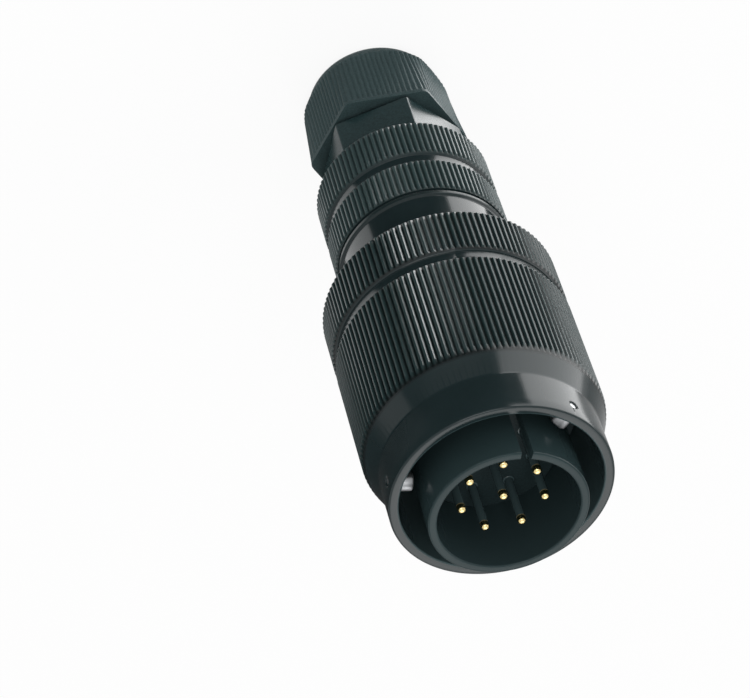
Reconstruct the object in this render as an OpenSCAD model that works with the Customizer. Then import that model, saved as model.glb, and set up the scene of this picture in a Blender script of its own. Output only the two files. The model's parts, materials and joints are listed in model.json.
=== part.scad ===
// Circular bayonet cable plug with eight contacts, standing on its cable gland, mating face up.
// Millimetres. The axis of the plug is Z, and the end of the gland nut lies on the plane z = 0.

/* [Coupling ring] */
// Diameter over the knurl of the coupling ring
ring_d = 42; // [40:0.5:46]
// Length of the knurled grip, from the groove to the foot of its cone
grip_len = 27.8; // [22:0.1:32]
// Length of the cone that ends the grip towards the collar
cone_len = 5.2; // [3:0.1:6]
// Width of the turned groove between the two knurled stretches
groove_w = 1.8; // [1.5:0.1:4]
// Depth of that groove below the knurl's crests
groove_depth = 0.9; // [0.7:0.1:1.5]
// Length of the narrow knurled band at the rear
band_len = 10.3; // [7:0.1:13]
// Step from the knurl's crests in to the smooth front collar
collar_step = 2; // [1.4:0.1:3]
// Length of the smooth front collar
collar_len = 8.1; // [7:0.1:12]
// Wall of that collar, round the bore in which the mating shell turns
collar_wall = 1.75; // [1.2:0.05:2.2]
// Thickness of the inner web that carries the thrust
web_t = 3; // [2:0.2:5]
// Distance by which that web reaches in from the bore behind it
web_reach = 1.7; // [1.2:0.1:2.4]
// Teeth of the straight knurl
ring_teeth = 120; // [90:1:140]
// Depth of the knurl's V grooves
knurl_depth = 0.42; // [0.2:0.02:0.6]
// Bevel at the ends of each knurled stretch
knurl_bevel = 0.7; // [0.4:0.1:1]

/* [Bayonet pins] */
// Number of bayonet pins
bayonet_count = 3; // [3:1:3]
// Diameter of a bayonet pin's head, inside the collar
head_d = 3.2; // [2.4:0.1:4]
// Height of that head
head_h = 2.3; // [1:0.1:3]
// Diameter of the shank that is riveted through the collar
shank_d = 1.4; // [1.2:0.1:2.2]
// Distance of the pins from the collar's rim
bayonet_back = 2.9; // [2.2:0.1:5]
// Turn of the first bayonet pin from the key slot
bayonet_turn = 91; // [0:1:119]

/* [Plug shell] */
// Gap between collar and nose, which takes the mating shell
mate_gap = 3.75; // [3.2:0.05:4.5]
// Wall of the shell's nose
nose_wall = 1.5; // [1.2:0.1:2]
// Distance by which the nose stands out of the collar
nose_out = 5; // [3:0.5:8]
// Depth from the collar's rim to the face seal
mate_depth = 17; // [14:0.5:20]
// Thickness of the shell's flange
flange_t = 2.5; // [2:0.1:4]
// Wall of the shell at its rear thread, round the inserts
tail_wall = 1.45; // [1.3:0.05:1.8]
// Length of the shell's rear thread
tail_len = 12; // [8:0.5:16]
// Step from that thread up to the journal on which the coupling ring turns
journal_step = 0.85; // [0.7:0.05:1.2]
// Width of the key slot in the mouth
key_w = 2; // [1.4:0.1:2.6]
// Length of the key slot
key_len = 12; // [5:0.5:13]

/* [Contacts] */
// Contacts on the ring round the middle one
ring_contacts = 7; // [5:1:7]
// Diameter of the circle on which they stand
contact_circle_d = 14.4; // [13:0.2:16]
// Diameter of a contact's pin
contact_d = 1.5; // [1:0.1:1.8]
// Distance of the pin tips behind the shell's rim
tip_back = 3.8; // [2:0.2:6]
// Length of pin that stands free of the insert
contact_free = 10; // [8:0.5:12]
// Diameter of the stem that is held in the insert
stem_d = 2; // [1.9:0.05:2.2]
// Diameter of the collar that is trapped between the two inserts
contact_collar_d = 2.6; // [2.4:0.1:3]
// Height of that collar
contact_collar_h = 2; // [1:0.2:3]
// Diameter of the solder cup behind the insert
cup_d = 2.2; // [1.9:0.1:2.3]
// Bore of the solder cup
cup_bore_d = 1.5; // [1:0.1:1.6]
// Length of the solder cup behind the rear insert
cup_len = 8; // [5:0.5:10]
// Depth of its bore
cup_depth = 5.6; // [3:0.2:8]
// Length of its side opening
cup_open = 2.8; // [1.5:0.1:4]

/* [Inserts] */
// Length of the front insert ahead of its shoulder
insert_front_len = 5; // [3:0.5:7]
// Length of the front insert's shoulder
insert_shoulder_len = 8; // [5:0.5:10]
// Width of that shoulder, beyond the mouth's radius
insert_step = 0.7; // [0.5:0.05:0.8]
// Thickness of the rear insert
rear_insert_t = 6; // [4:0.5:8]
// Thickness of the threaded ring that holds the inserts
insert_ring_t = 3; // [2:0.2:4]
// Width of that ring, from its thread to its bore
insert_ring_w = 2.15; // [1.5:0.05:2.6]
// Width of the slot across that ring
spanner_slot_w = 2; // [1:0.2:3]

/* [Spring and seals] */
// Step of the land that carries the rubber face seal
seal_land = 0.4; // [0.3:0.05:0.6]
// Thickness of the rubber face seal
face_seal_t = 1.5; // [1:0.1:2]
// Height of the wave spring as fitted
spring_h = 2.4; // [2:0.1:3]
// Thickness of its strip
spring_t = 0.4; // [0.3:0.05:0.5]
// Number of its waves
spring_waves = 3; // [3:1:5]
// Thickness of the thrust washer
thrust_t = 0.8; // [0.6:0.1:1.2]
// Thickness of the snap ring
snap_t = 1.2; // [1:0.1:1.6]
// Depth of its groove in the shell
snap_groove = 0.75; // [0.5:0.05:0.8]
// Width of the land between that groove and the backshell
snap_land = 1.2; // [0.8:0.1:2]
// Width of the snap ring's gap
snap_gap = 6; // [4:0.5:9]
// Section diameter of the O-ring between shell and backshell
oring_section_d = 1; // [0.8:0.1:1.2]

/* [Backshell] */
// Gap between the smooth neck and the coupling ring's bore
neck_gap = 1.4; // [1:0.1:1.5]
// Length of neck that shows behind the coupling ring
neck_show = 10.9; // [6:0.1:16]
// Rise from the neck to the crests of the backshell's knurl
back_rise = 0.8; // [0.7:0.1:2]
// Length of the knurled band at the front
band_2_len = 8; // [6:0.2:12]
// Length of the knurled band at the rear
band_1_len = 9.2; // [7:0.2:12]
// Width of the groove between them
back_groove_w = 2.1; // [1.5:0.1:4]
// Depth of that groove below the knurl's crests
back_groove_depth = 0.75; // [0.6:0.05:1.2]
// Width of the plain lip in front of the knurl
lip_w = 1.1; // [0.6:0.1:2]
// Width of the fine groove between lip and knurl
lip_groove_w = 0.5; // [0.3:0.1:1]
// Teeth of the backshell's knurl
back_teeth = 96; // [72:1:110]
// Step from the backshell's thread in to the wiring space
cavity_step = 0.95; // [0.6:0.05:1.6]
// Margin of the short tail behind the knurl round the gland's sealing washer
back_tail_margin = 0.05; // [0:0.05:0.6]
// Length of that tail
back_tail_len = 0.6; // [0.5:0.1:4]
// Thickness of the rear wall that holds the gland
rear_wall_t = 6; // [4:0.5:8]

/* [Cable gland] */
// Width across flats of the gland body
hex_af = 24; // [23.6:0.2:25]
// Height of the gland body's hexagon
hex_h = 8.6; // [4:0.2:9]
// Thickness of the sealing washer under the hexagon
seal_washer_t = 1; // [0.8:0.1:3]
// Diameter of the thread that screws into the backshell
stub_d = 20.4; // [19.6:0.2:21]
// Length of that thread beyond the rear wall
stub_past = 1; // [0:0.2:3]
// Bore of the gland body
gland_bore_d = 14; // [13:0.2:15]
// Diameter of the thread under the gland nut
nut_thread_d = 21.6; // [21.2:0.1:21.8]
// Bore of the rubber seal, for the cable
cable_d = 12; // [9:0.5:12.6]
// Wall of the rubber seal
gland_seal_wall = 3; // [2:0.1:3.2]
// Length of the rubber seal
gland_seal_len = 10; // [7:0.5:11]
// Distance by which the seal stands out of the gland body
gland_seal_out = 0.5; // [0.2:0.1:1]
// Thickness of the slip washer
slip_t = 1; // [0.6:0.1:1.4]

/* [Gland nut] */
// Height of the gland nut
nut_h = 17.2; // [14:0.2:20]
// Gap between the nut's mouth and the hexagon
nut_gap = 1.3; // [0.5:0.1:2]
// Angle by which the nut stands turned from the hexagon
nut_turned = -16; // [-30:1:30]
// Width across flats of the nut, over its ribs
nut_af = 26; // [25:0.2:27]
// Diameter over the nut's corners at its mouth
nut_corner_d = 29.6; // [28:0.2:30]
// Distance by which the corners draw in towards the nut's end
nut_corner_in = 1.2; // [0:0.1:1.4]
// Fine ribs round the nut
nut_ribs = 90; // [60:6:96]
// Depth of the grooves between those ribs
rib_depth = 0.26; // [0.1:0.02:0.3]
// Height of the rounded end
dome_h = 2.4; // [2:0.2:4]
// Width by which the rounded end draws in
dome_in = 1.8; // [1.5:0.1:3]
// Thickness of the nut's end wall
nut_wall_t = 3.8; // [3:0.2:5]
// Clearance of the nut's hole round the cable
nut_hole_clear = 0.5; // [0.3:0.1:1]

/* [Fits] */
// Radial clearance of turning and sliding fits
run_clear = 0.06; // [0.03:0.01:0.1]
// Clearance between pieces that are fixed to each other
seat_clear = 0.05; // [0.02:0.01:0.1]
// Clearance between faces that pass each other
pass_clear = 0.3; // [0.2:0.05:0.5]
// Axial play of pieces that turn against a face
face_play = 0.05; // [0.02:0.01:0.1]

/* [Hidden] */
$fn = 96;
edge = 0.4;        // small edge bevel
over = 0.5;        // length by which a cut runs past a face
proud = 0.05;      // distance by which a turned outline stands off the knurl's crests
crest_share = 0.3; // share of a knurl's pitch that stays as its flat crest
dome_steps = 10;   // steps of the nut's rounded end
spring_steps = 24; // steps in each wave of the spring
key_angle = -90;   // direction of the key slot

// Stations along the axis, from the gland nut's end up to the rim of the nose
z_nut = nut_h;
z_hex = z_nut + nut_gap;
z_washer = z_hex + hex_h;
z_back = z_washer + seal_washer_t;
z_band_1 = z_back + back_tail_len;
z_back_groove = z_band_1 + band_1_len;
z_band_2 = z_back_groove + back_groove_w;
z_lip_groove = z_band_2 + band_2_len;
z_lip = z_lip_groove + lip_groove_w;
z_neck = z_lip + lip_w;
z_ring = z_neck + neck_show;
z_groove = z_ring + band_len;
z_grip = z_groove + groove_w;
z_collar = z_grip + grip_len;
z_collar_rim = z_collar + collar_len;
z_rim = z_collar_rim + nose_out;

// Stations of the inner stack, from the face seal down to the shell's rear shoulder
z_face_seal = z_collar_rim - mate_depth;
z_flange = z_face_seal - face_seal_t;
z_spring = z_flange - flange_t;
z_thrust = z_spring - spring_h;
z_web = z_thrust - thrust_t;
z_snap = z_web - web_t - face_play;
z_shoulder = z_snap - snap_t - snap_land;
z_tail = z_shoulder - tail_len;

// Stations of the inserts and contacts
z_tip = z_rim - tip_back;
z_insert = z_tip - contact_free;
z_seat = z_insert - insert_front_len;
z_rear_insert = z_seat - insert_shoulder_len;
z_insert_ring = z_rear_insert - rear_insert_t;
z_cup = z_insert_ring - cup_len;

// Radii from the coupling ring's outside in to the shell's mouth
ring_r = ring_d/2;
collar_r = ring_r - collar_step;
ring_bore_r = collar_r - collar_wall;
nose_r = ring_bore_r - mate_gap;
mouth_r = nose_r - nose_wall;

// Radii from the inserts' seat out to the backshell's knurl
seat_r = mouth_r + insert_step;
tail_r = seat_r + tail_wall;
journal_r = tail_r + journal_step;
skirt_bore_r = journal_r + web_reach;
neck_r = skirt_bore_r - neck_gap;
back_r = neck_r + back_rise;
back_groove_r = back_r - back_groove_depth;
cavity_r = tail_r - cavity_step;

// Radii that follow from the fits
flange_r = ring_bore_r - run_clear;
insert_r = seat_r - seat_clear;
snap_floor_r = journal_r - snap_groove;
snap_r = skirt_bore_r - pass_clear;
hex_corner_r = hex_af/2/cos(30);
back_tail_r = hex_corner_r + back_tail_margin;
gland_seal_r = cable_d/2 + gland_seal_wall;
gland_seat_r = gland_seal_r + seat_clear;
nut_bore_r = nut_thread_d/2 + run_clear;
nut_hole_r = cable_d/2 + nut_hole_clear;
z_gland_end = nut_wall_t + face_play + slip_t + face_play + gland_seal_out;
oring_floor_r = tail_r + seat_clear - oring_section_d;

// A solid turned about Z from its half section
module turned(section) {
    rotate_extrude() polygon(section);
}

// A plain ring between two heights
module washer(z0, z1, r_out, r_in) {
    translate([0, 0, z0]) linear_extrude(z1 - z0) difference() {
        circle(r_out);
        circle(r_in);
    }
}

// Outline of straight V grooves round a circle, each tooth with a flat crest
function knurl_outline(teeth, crest_r, depth) = [
    for (i = [0:teeth - 1], p = [[0, 0], [crest_share, 0], [(1 + crest_share)/2, depth]])
        let (a = 360*(i + p[0] - crest_share/2)/teeth)
        (crest_r - p[1])*[cos(a), sin(a)]];

// Radius of a hexagon with rounded corners in direction a
function hex_r(a, af, corner_d) =
    min(corner_d/2, af/2/cos(a - 60*round(a/60)));

// Outline of fine ribs round such a hexagon
function rib_outline(ribs, af, corner_d, depth) = [
    for (i = [0:ribs - 1], p = [[0, 0], [crest_share, 0], [(1 + crest_share)/2, depth]])
        let (a = 360*(i + p[0] - crest_share/2)/ribs)
        (hex_r(a, af, corner_d) - p[1])*[cos(a), sin(a)]];

// Half section of a knurled stretch's outside from z0 up to z1, with a bevel at each end
function beveled(r, z0, z1, floor_r, bevel) = [
    [floor_r, z0], [r - bevel, z0], [r, z0 + bevel], [r, z1 - bevel], [r - bevel, z1], [floor_r, z1]];

module coupling_ring() {
    floor_r = ring_r - groove_depth;
    outside = concat(
        beveled(ring_r + proud, z_ring, z_groove, floor_r, knurl_bevel),
        [[floor_r, z_grip], [ring_r - knurl_bevel, z_grip], [ring_r + proud, z_grip + knurl_bevel],
         [ring_r + proud, z_collar - cone_len], [collar_r, z_collar],
         [collar_r, z_collar_rim - edge], [collar_r - edge, z_collar_rim]]);
    inside = [
        [ring_bore_r + edge, z_collar_rim], [ring_bore_r, z_collar_rim - edge], [ring_bore_r, z_web],
        [journal_r + run_clear, z_web], [journal_r + run_clear, z_web - web_t],
        [skirt_bore_r, z_web - web_t], [skirt_bore_r, z_ring]];
    color([0.07, 0.08, 0.08]) difference() {
        intersection() {
            translate([0, 0, z_ring]) linear_extrude(z_collar_rim - z_ring)
                polygon(knurl_outline(ring_teeth, ring_r, knurl_depth));
            turned(concat(outside, inside));
        }
        for (i = [1:bayonet_count]) bayonet_place(i) cylinder(d = shank_d, h = collar_r + over);
    }
}

// Places a radial bayonet pin's axis along +Z
module bayonet_place(i) {
    rotate([0, 0, key_angle + bayonet_turn + 360*(i - 1)/bayonet_count])
        translate([0, 0, z_collar_rim - bayonet_back]) rotate([0, 90, 0]) children();
}

module bayonet_pin(i) {
    shank_r = shank_d/2 - seat_clear/2;
    head_top = ring_bore_r - pass_clear/2;
    color([0.78, 0.79, 0.8]) bayonet_place(i) turned([
        [0, head_top - head_h], [head_d/2 - edge, head_top - head_h], [head_d/2, head_top - head_h + edge],
        [head_d/2, head_top - edge], [shank_r, head_top - edge], [shank_r, collar_r - edge],
        [shank_r - edge/2, collar_r - edge/2], [0, collar_r - edge/2]]);
}

module plug_shell() {
    section = [
        [mouth_r + edge, z_rim], [nose_r - edge, z_rim], [nose_r, z_rim - edge],
        [nose_r, z_face_seal], [nose_r + seal_land, z_face_seal],
        [nose_r + seal_land, z_flange], [flange_r, z_flange], [flange_r, z_spring],
        [journal_r, z_spring], [journal_r, z_snap], [snap_floor_r, z_snap],
        [snap_floor_r, z_snap - snap_t], [journal_r, z_snap - snap_t], [journal_r, z_shoulder],
        [oring_floor_r, z_shoulder], [oring_floor_r, z_shoulder - oring_section_d - edge],
        [tail_r, z_shoulder - oring_section_d - edge], [tail_r, z_tail + edge],
        [tail_r - edge, z_tail], [seat_r, z_tail], [seat_r, z_seat], [mouth_r, z_seat],
        [mouth_r, z_rim - edge]];
    color([0.1, 0.11, 0.11]) difference() {
        turned(section);
        rotate([0, 0, key_angle]) translate([mouth_r - over, -key_w/2, z_rim - key_len])
            cube([nose_wall + 2*over, key_w, key_len + over]);
    }
}

// Directions of the contacts: a ring of them, and the last one in the middle
function contact_at(i) =
    i > ring_contacts ? [0, 0]
    : let (a = 180 + 360*(i - 1)/ring_contacts) contact_circle_d/2*[cos(a), sin(a)];

// Puts a cut or a pin at each contact's place
module at_contacts() {
    for (i = [1:ring_contacts + 1]) translate(contact_at(i)) children();
}

module pin_insert() {
    front_r = mouth_r - seat_clear;
    color([0.1, 0.11, 0.12]) difference() {
        turned([
            [0, z_insert], [front_r - edge, z_insert], [front_r, z_insert - edge], [front_r, z_seat],
            [insert_r, z_seat], [insert_r, z_rear_insert], [0, z_rear_insert]]);
        at_contacts() {
            translate([0, 0, z_rear_insert - over])
                cylinder(d = stem_d + 2*seat_clear, h = z_insert - z_rear_insert + 2*over);
            translate([0, 0, z_rear_insert - over])
                cylinder(d = contact_collar_d + 2*seat_clear, h = over + contact_collar_h + seat_clear);
        }
    }
}

module rear_insert() {
    color([0.14, 0.14, 0.15]) difference() {
        translate([0, 0, z_insert_ring]) cylinder(r = insert_r, h = rear_insert_t);
        at_contacts() translate([0, 0, z_insert_ring - over])
            cylinder(d = cup_d + 2*seat_clear, h = rear_insert_t + 2*over);
    }
}

module insert_ring() {
    color([0.55, 0.56, 0.57]) difference() {
        washer(z_insert_ring - insert_ring_t, z_insert_ring, insert_r, insert_r - insert_ring_w);
        translate([-insert_r - over, -spanner_slot_w/2, z_insert_ring - insert_ring_t - over])
            cube([2*insert_r + 2*over, spanner_slot_w, insert_ring_t/2 + over]);
    }
}

module contact_pin(i) {
    pin_r = contact_d/2;
    z_collar_top = z_rear_insert + contact_collar_h;
    color([0.86, 0.72, 0.36]) translate(contact_at(i)) difference() {
        union() {
            turned([
                [0, z_cup], [cup_d/2, z_cup], [cup_d/2, z_rear_insert], [contact_collar_d/2, z_rear_insert],
                [contact_collar_d/2, z_collar_top], [stem_d/2, z_collar_top], [stem_d/2, z_insert],
                [pin_r, z_insert], [pin_r, z_tip - pin_r], [0, z_tip - pin_r]]);
            translate([0, 0, z_tip - pin_r]) sphere(pin_r);
        }
        translate([0, 0, z_cup - over]) cylinder(d = cup_bore_d, h = cup_depth + over);
        translate([0, -cup_d/2 - over, z_cup - over]) cube([cup_d, cup_d + 2*over, cup_open + over]);
    }
}

module face_seal() {
    color([0.16, 0.16, 0.16])
        washer(z_flange, z_face_seal, ring_bore_r - pass_clear, nose_r + seal_land + seat_clear);
}

// A closed washer whose strip rises and falls between the flange and the thrust washer
module wave_spring() {
    r_in = journal_r + pass_clear;
    r_out = ring_bore_r - pass_clear;
    steps = spring_steps*spring_waves;
    swing = (spring_h - spring_t)/2 - face_play;
    middle = z_thrust + spring_h/2;
    function wave_z(k) = middle + swing*sin(360*spring_waves*k/steps);
    points = [
        for (k = [0:steps - 1]) let (a = 360*k/steps, z = wave_z(k))
            each [[r_in*cos(a), r_in*sin(a), z - spring_t/2], [r_out*cos(a), r_out*sin(a), z - spring_t/2],
                  [r_out*cos(a), r_out*sin(a), z + spring_t/2], [r_in*cos(a), r_in*sin(a), z + spring_t/2]]];
    faces = [
        for (k = [0:steps - 1], s = [0:3])
            let (a = 4*k, b = 4*((k + 1) % steps), t = (s + 1) % 4)
            each [[a + s, b + s, b + t], [a + s, b + t, a + t]]];
    color([0.6, 0.61, 0.63]) polyhedron(points, faces);
}

module thrust_washer() {
    color([0.66, 0.67, 0.69])
        washer(z_web + face_play, z_thrust, ring_bore_r - pass_clear, journal_r + run_clear);
}

module snap_ring() {
    z0 = z_snap - snap_t + face_play;
    color([0.5, 0.51, 0.53]) difference() {
        washer(z0, z_snap, snap_r, snap_floor_r + seat_clear);
        rotate([0, 0, key_angle]) translate([0, -snap_gap/2, z0 - over])
            cube([snap_r + over, snap_gap, snap_t + 2*over]);
    }
}

module backshell() {
    wall_top = z_back + rear_wall_t;
    outside = concat(
        [[back_tail_r - edge, z_back], [back_tail_r, z_back + edge], [back_tail_r, z_band_1]],
        beveled(back_r + proud, z_band_1, z_back_groove, back_groove_r, knurl_bevel),
        beveled(back_r + proud, z_band_2, z_lip_groove, back_groove_r, knurl_bevel/2),
        [[back_groove_r, z_lip], [back_r - edge, z_lip], [back_r - edge, z_neck - edge],
         [neck_r, z_neck], [neck_r, z_shoulder]]);
    inside = [
        [tail_r + seat_clear, z_shoulder], [tail_r + seat_clear, z_tail - edge],
        [cavity_r, z_tail - edge], [cavity_r, wall_top],
        [stub_d/2 + seat_clear, wall_top], [stub_d/2 + seat_clear, z_back]];
    color([0.07, 0.08, 0.08]) intersection() {
        translate([0, 0, z_back]) linear_extrude(z_shoulder - z_back)
            polygon(knurl_outline(back_teeth, back_r, knurl_depth));
        turned(concat(outside, inside));
    }
}

module backshell_o_ring() {
    r = oring_section_d/2;
    color([0.13, 0.13, 0.13]) translate([0, 0, z_shoulder - edge/2 - r])
        rotate_extrude() translate([oring_floor_r + r, 0]) circle(r, $fn = 24);
}

module sealing_washer() {
    color([0.15, 0.15, 0.15]) washer(z_washer, z_back, hex_corner_r, stub_d/2 + seat_clear);
}

module gland_body() {
    z_seal_top = z_gland_end - gland_seal_out + gland_seal_len;
    color([0.08, 0.08, 0.08]) difference() {
        union() {
            translate([0, 0, z_hex]) rotate([0, 0, 30]) cylinder(r = hex_corner_r, h = hex_h, $fn = 6);
            translate([0, 0, z_gland_end]) cylinder(d = nut_thread_d, h = z_hex + over - z_gland_end);
            translate([0, 0, z_washer - over])
                cylinder(d = stub_d, h = over + seal_washer_t + rear_wall_t + stub_past);
        }
        translate([0, 0, z_gland_end - over])
            cylinder(r = gland_seat_r, h = z_seal_top + seat_clear - z_gland_end + over);
        translate([0, 0, z_gland_end]) cylinder(d = gland_bore_d, h = z_back + rear_wall_t + stub_past);
    }
}

module gland_seal() {
    z0 = z_gland_end - gland_seal_out;
    color([0.12, 0.12, 0.12]) washer(z0, z0 + gland_seal_len, gland_seal_r, cable_d/2);
}

module slip_washer() {
    z0 = nut_wall_t + face_play;
    color([0.7, 0.62, 0.42]) washer(z0, z0 + slip_t, nut_bore_r - pass_clear, nut_hole_r);
}

// Half section of the nut's round end, a quarter ellipse between its flat face and its side
module dome_section(r) {
    polygon(concat([[0, 0]],
        [for (k = [0:dome_steps]) let (a = 90*k/dome_steps) [r - dome_in*(1 - sin(a)), dome_h*(1 - cos(a))]],
        [[r, nut_h - edge], [0, nut_h - edge]]));
}

module gland_nut() {
    rib_start = dome_h - edge;
    corner_r = nut_corner_d/2 + proud;
    end_r = corner_r - nut_corner_in;
    color([0.09, 0.09, 0.09]) rotate([0, 0, nut_turned]) difference() {
        union() {
            intersection() {
                translate([0, 0, rib_start]) linear_extrude(nut_h - rib_start)
                    polygon(rib_outline(nut_ribs, nut_af, nut_corner_d, rib_depth));
                turned([
                    [0, rib_start - over], [nut_af/2 - edge, rib_start - over],
                    [nut_af/2 - edge, rib_start], [end_r, rib_start + end_r - nut_af/2 + edge],
                    [corner_r, nut_h - edge], [corner_r - edge, nut_h], [0, nut_h]]);
            }
            rotate_extrude() dome_section(nut_af/2 - rib_depth - edge/4);
        }
        translate([0, 0, -over]) cylinder(r = nut_hole_r, h = nut_h);
        translate([0, 0, nut_wall_t]) cylinder(r = nut_bore_r, h = nut_h);
    }
}

coupling_ring();
for (i = [1:bayonet_count])
    bayonet_pin(i);
plug_shell();
pin_insert();
rear_insert();
insert_ring();
for (i = [1:ring_contacts + 1])
    contact_pin(i);
face_seal();
wave_spring();
thrust_washer();
snap_ring();
backshell();
backshell_o_ring();
sealing_washer();
gland_body();
gland_seal();
slip_washer();
gland_nut();
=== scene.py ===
# %% [markdown]
# # A circular bayonet cable plug
# The plug stands on its cable gland with the mating face up, and its axis is Z. Almost every piece was
# turned on a lathe, so almost every piece here is one closed half section carried round that axis. What
# makes the plug look machined is what happens on top of that: straight knurls, fine ribs, eased edges and
# the way black anodising mirrors a bright studio.

# %% Load the frame
import json
import math

import bpy
import numpy as np
from mathutils import Matrix, Vector

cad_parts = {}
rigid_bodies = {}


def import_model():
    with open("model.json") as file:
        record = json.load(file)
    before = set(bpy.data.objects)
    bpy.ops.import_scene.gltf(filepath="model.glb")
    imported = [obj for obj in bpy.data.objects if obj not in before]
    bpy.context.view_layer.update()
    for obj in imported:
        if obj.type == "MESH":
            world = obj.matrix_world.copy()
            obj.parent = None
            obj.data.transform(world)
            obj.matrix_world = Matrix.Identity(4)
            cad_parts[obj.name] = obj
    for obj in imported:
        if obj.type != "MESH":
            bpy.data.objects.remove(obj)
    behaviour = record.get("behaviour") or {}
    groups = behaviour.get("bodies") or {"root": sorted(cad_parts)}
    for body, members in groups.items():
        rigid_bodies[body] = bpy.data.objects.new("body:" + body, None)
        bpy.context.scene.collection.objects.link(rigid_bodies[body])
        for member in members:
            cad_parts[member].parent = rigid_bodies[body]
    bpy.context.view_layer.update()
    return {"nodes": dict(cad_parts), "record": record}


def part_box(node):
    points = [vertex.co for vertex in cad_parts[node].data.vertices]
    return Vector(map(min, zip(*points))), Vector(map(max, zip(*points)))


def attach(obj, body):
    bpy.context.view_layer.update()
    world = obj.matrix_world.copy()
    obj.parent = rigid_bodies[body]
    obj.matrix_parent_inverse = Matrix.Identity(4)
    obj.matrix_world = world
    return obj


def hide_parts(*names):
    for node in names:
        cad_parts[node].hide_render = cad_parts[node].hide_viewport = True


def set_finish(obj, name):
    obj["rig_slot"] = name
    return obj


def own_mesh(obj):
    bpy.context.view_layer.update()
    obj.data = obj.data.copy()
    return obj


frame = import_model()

MM = 0.001
print("nodes in the frame:", len(frame["nodes"]))

# %% [markdown]
# ## Where the camera stands
# The photographer looked down at the mating face from the front, about 47 degrees below the horizon, and
# turned the camera almost upside down, so that the plug leans into the picture from the top. A camera can
# be placed by hand in the viewport, but a point to stand on, a point to look at and a roll say the same
# thing in three lines that can be checked.

# %% Camera
camera_at = Vector((152.8, -318.0, 441.9)) * MM
looks_at = Vector((14.7, -0.8, 74.0)) * MM
camera_roll = math.radians(163.24)
focal_mm = 142.4

camera = bpy.data.objects.new("camera", bpy.data.cameras.new("camera"))
camera.data.lens = focal_mm
facing = (looks_at - camera_at).to_track_quat("-Z", "Y").to_matrix()
camera.matrix_world = Matrix.Translation(camera_at) @ (facing @ Matrix.Rotation(camera_roll, 3, "Z")).to_4x4()
bpy.context.scene.collection.objects.link(camera)
bpy.context.scene.camera = camera
bpy.context.scene.view_settings.view_transform = "Standard"
print("camera axes:", [tuple(round(x, 4) for x in col) for col in camera.matrix_world.to_3x3().col])

# %% [markdown]
# ## Outlines with eased corners
# A turned part is drawn as a half section: a closed line of points, each a radius and a height. Real edges
# are never knife sharp, and a tiny round is what catches the light. Blender's Bevel modifier could add the
# rounds afterwards, but it would also bevel every tooth of a knurl. Rounding the half section itself, before
# it is carried round, keeps the mesh small and puts the rounds only where they belong.

# %% Outlines
def eased(corners, steps=4):
    """Closed outline with eased corners. A row is (radius, height, cut): the corner is cut back by that much
    along both legs, and the parabola (1-t)^2 a + 2t(1-t) b + t^2 c runs from cut a past corner b to cut c."""
    corners = np.asarray(corners, float)
    point, cut = corners[:, :2], corners[:, 2:]
    behind = np.roll(point, 1, axis=0) - point
    ahead = np.roll(point, -1, axis=0) - point
    start = point + cut * behind / np.linalg.norm(behind, axis=1, keepdims=True)
    end = point + cut * ahead / np.linalg.norm(ahead, axis=1, keepdims=True)
    t = np.linspace(0, 1, steps)[None, :, None]
    curve = (1 - t) ** 2 * start[:, None] + 2 * t * (1 - t) * point[:, None] + t**2 * end[:, None]
    line = curve.reshape(-1, 2)
    apart = np.linalg.norm(line - np.roll(line, 1, axis=0), axis=1) > 1e-6
    return line[apart]


def refined(line, above, step):
    """The same outline with more points where it climbs or falls at radii past above: a leg there is split
    into equal parts that change the radius by no more than step."""
    nxt = np.roll(line, -1, axis=0)
    change = np.abs(nxt[:, 0] - line[:, 0])
    parts = np.where(np.minimum(nxt[:, 0], line[:, 0]) > above, np.ceil(change / step), 1)
    parts = np.maximum(parts, 1).astype(int)
    leg = np.repeat(np.arange(len(line)), parts)
    share = (np.arange(parts.sum()) - np.repeat(np.cumsum(parts) - parts, parts)) / parts[leg]
    return line[leg] + share[:, None] * (nxt - line)[leg]


square = eased([(1, 0, 0.1), (2, 0, 0.1), (2, 1, 0.1), (1, 1, 0.1)])
print("an eased square has", len(square), "points, and refined", len(refined(square, 1.5, 0.02)))

# %% [markdown]
# ## From an outline to a mesh
# Carrying the outline round the axis gives a grid: one column for each angle, one row for each point of the
# outline. Both directions join up with their own start, so the surface is a closed ring. Blender's Screw or
# Spin could do this for a plain lathe part, but here a column may also have a radius of its own, for teeth
# and hexagons, or a height of its own, for slots. With numpy the whole grid is one array.

# %% Grids
def circle_angles(count):
    """Equally spaced angles round the axis."""
    return np.arange(count) * 2 * np.pi / count


def turned(line, angle, limit=None, low=-np.inf, high=np.inf):
    """Grid of points round the axis. Column i stands at angle[i], row j carries point (r, z) of the outline.
    The radius is r, or limit(angle, z) where that is smaller, and the height is z held between low and high,
    which may differ from column to column."""
    a = np.asarray(angle)[:, None]
    r = np.broadcast_to(line[:, 0], (len(a), len(line)))
    z = np.clip(np.broadcast_to(line[:, 1], r.shape), np.reshape(low, (-1, 1)), np.reshape(high, (-1, 1)))
    if limit is not None:
        r = np.minimum(r, limit(a, z))
    return np.stack([r * np.cos(a), r * np.sin(a), z], axis=-1)


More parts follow.
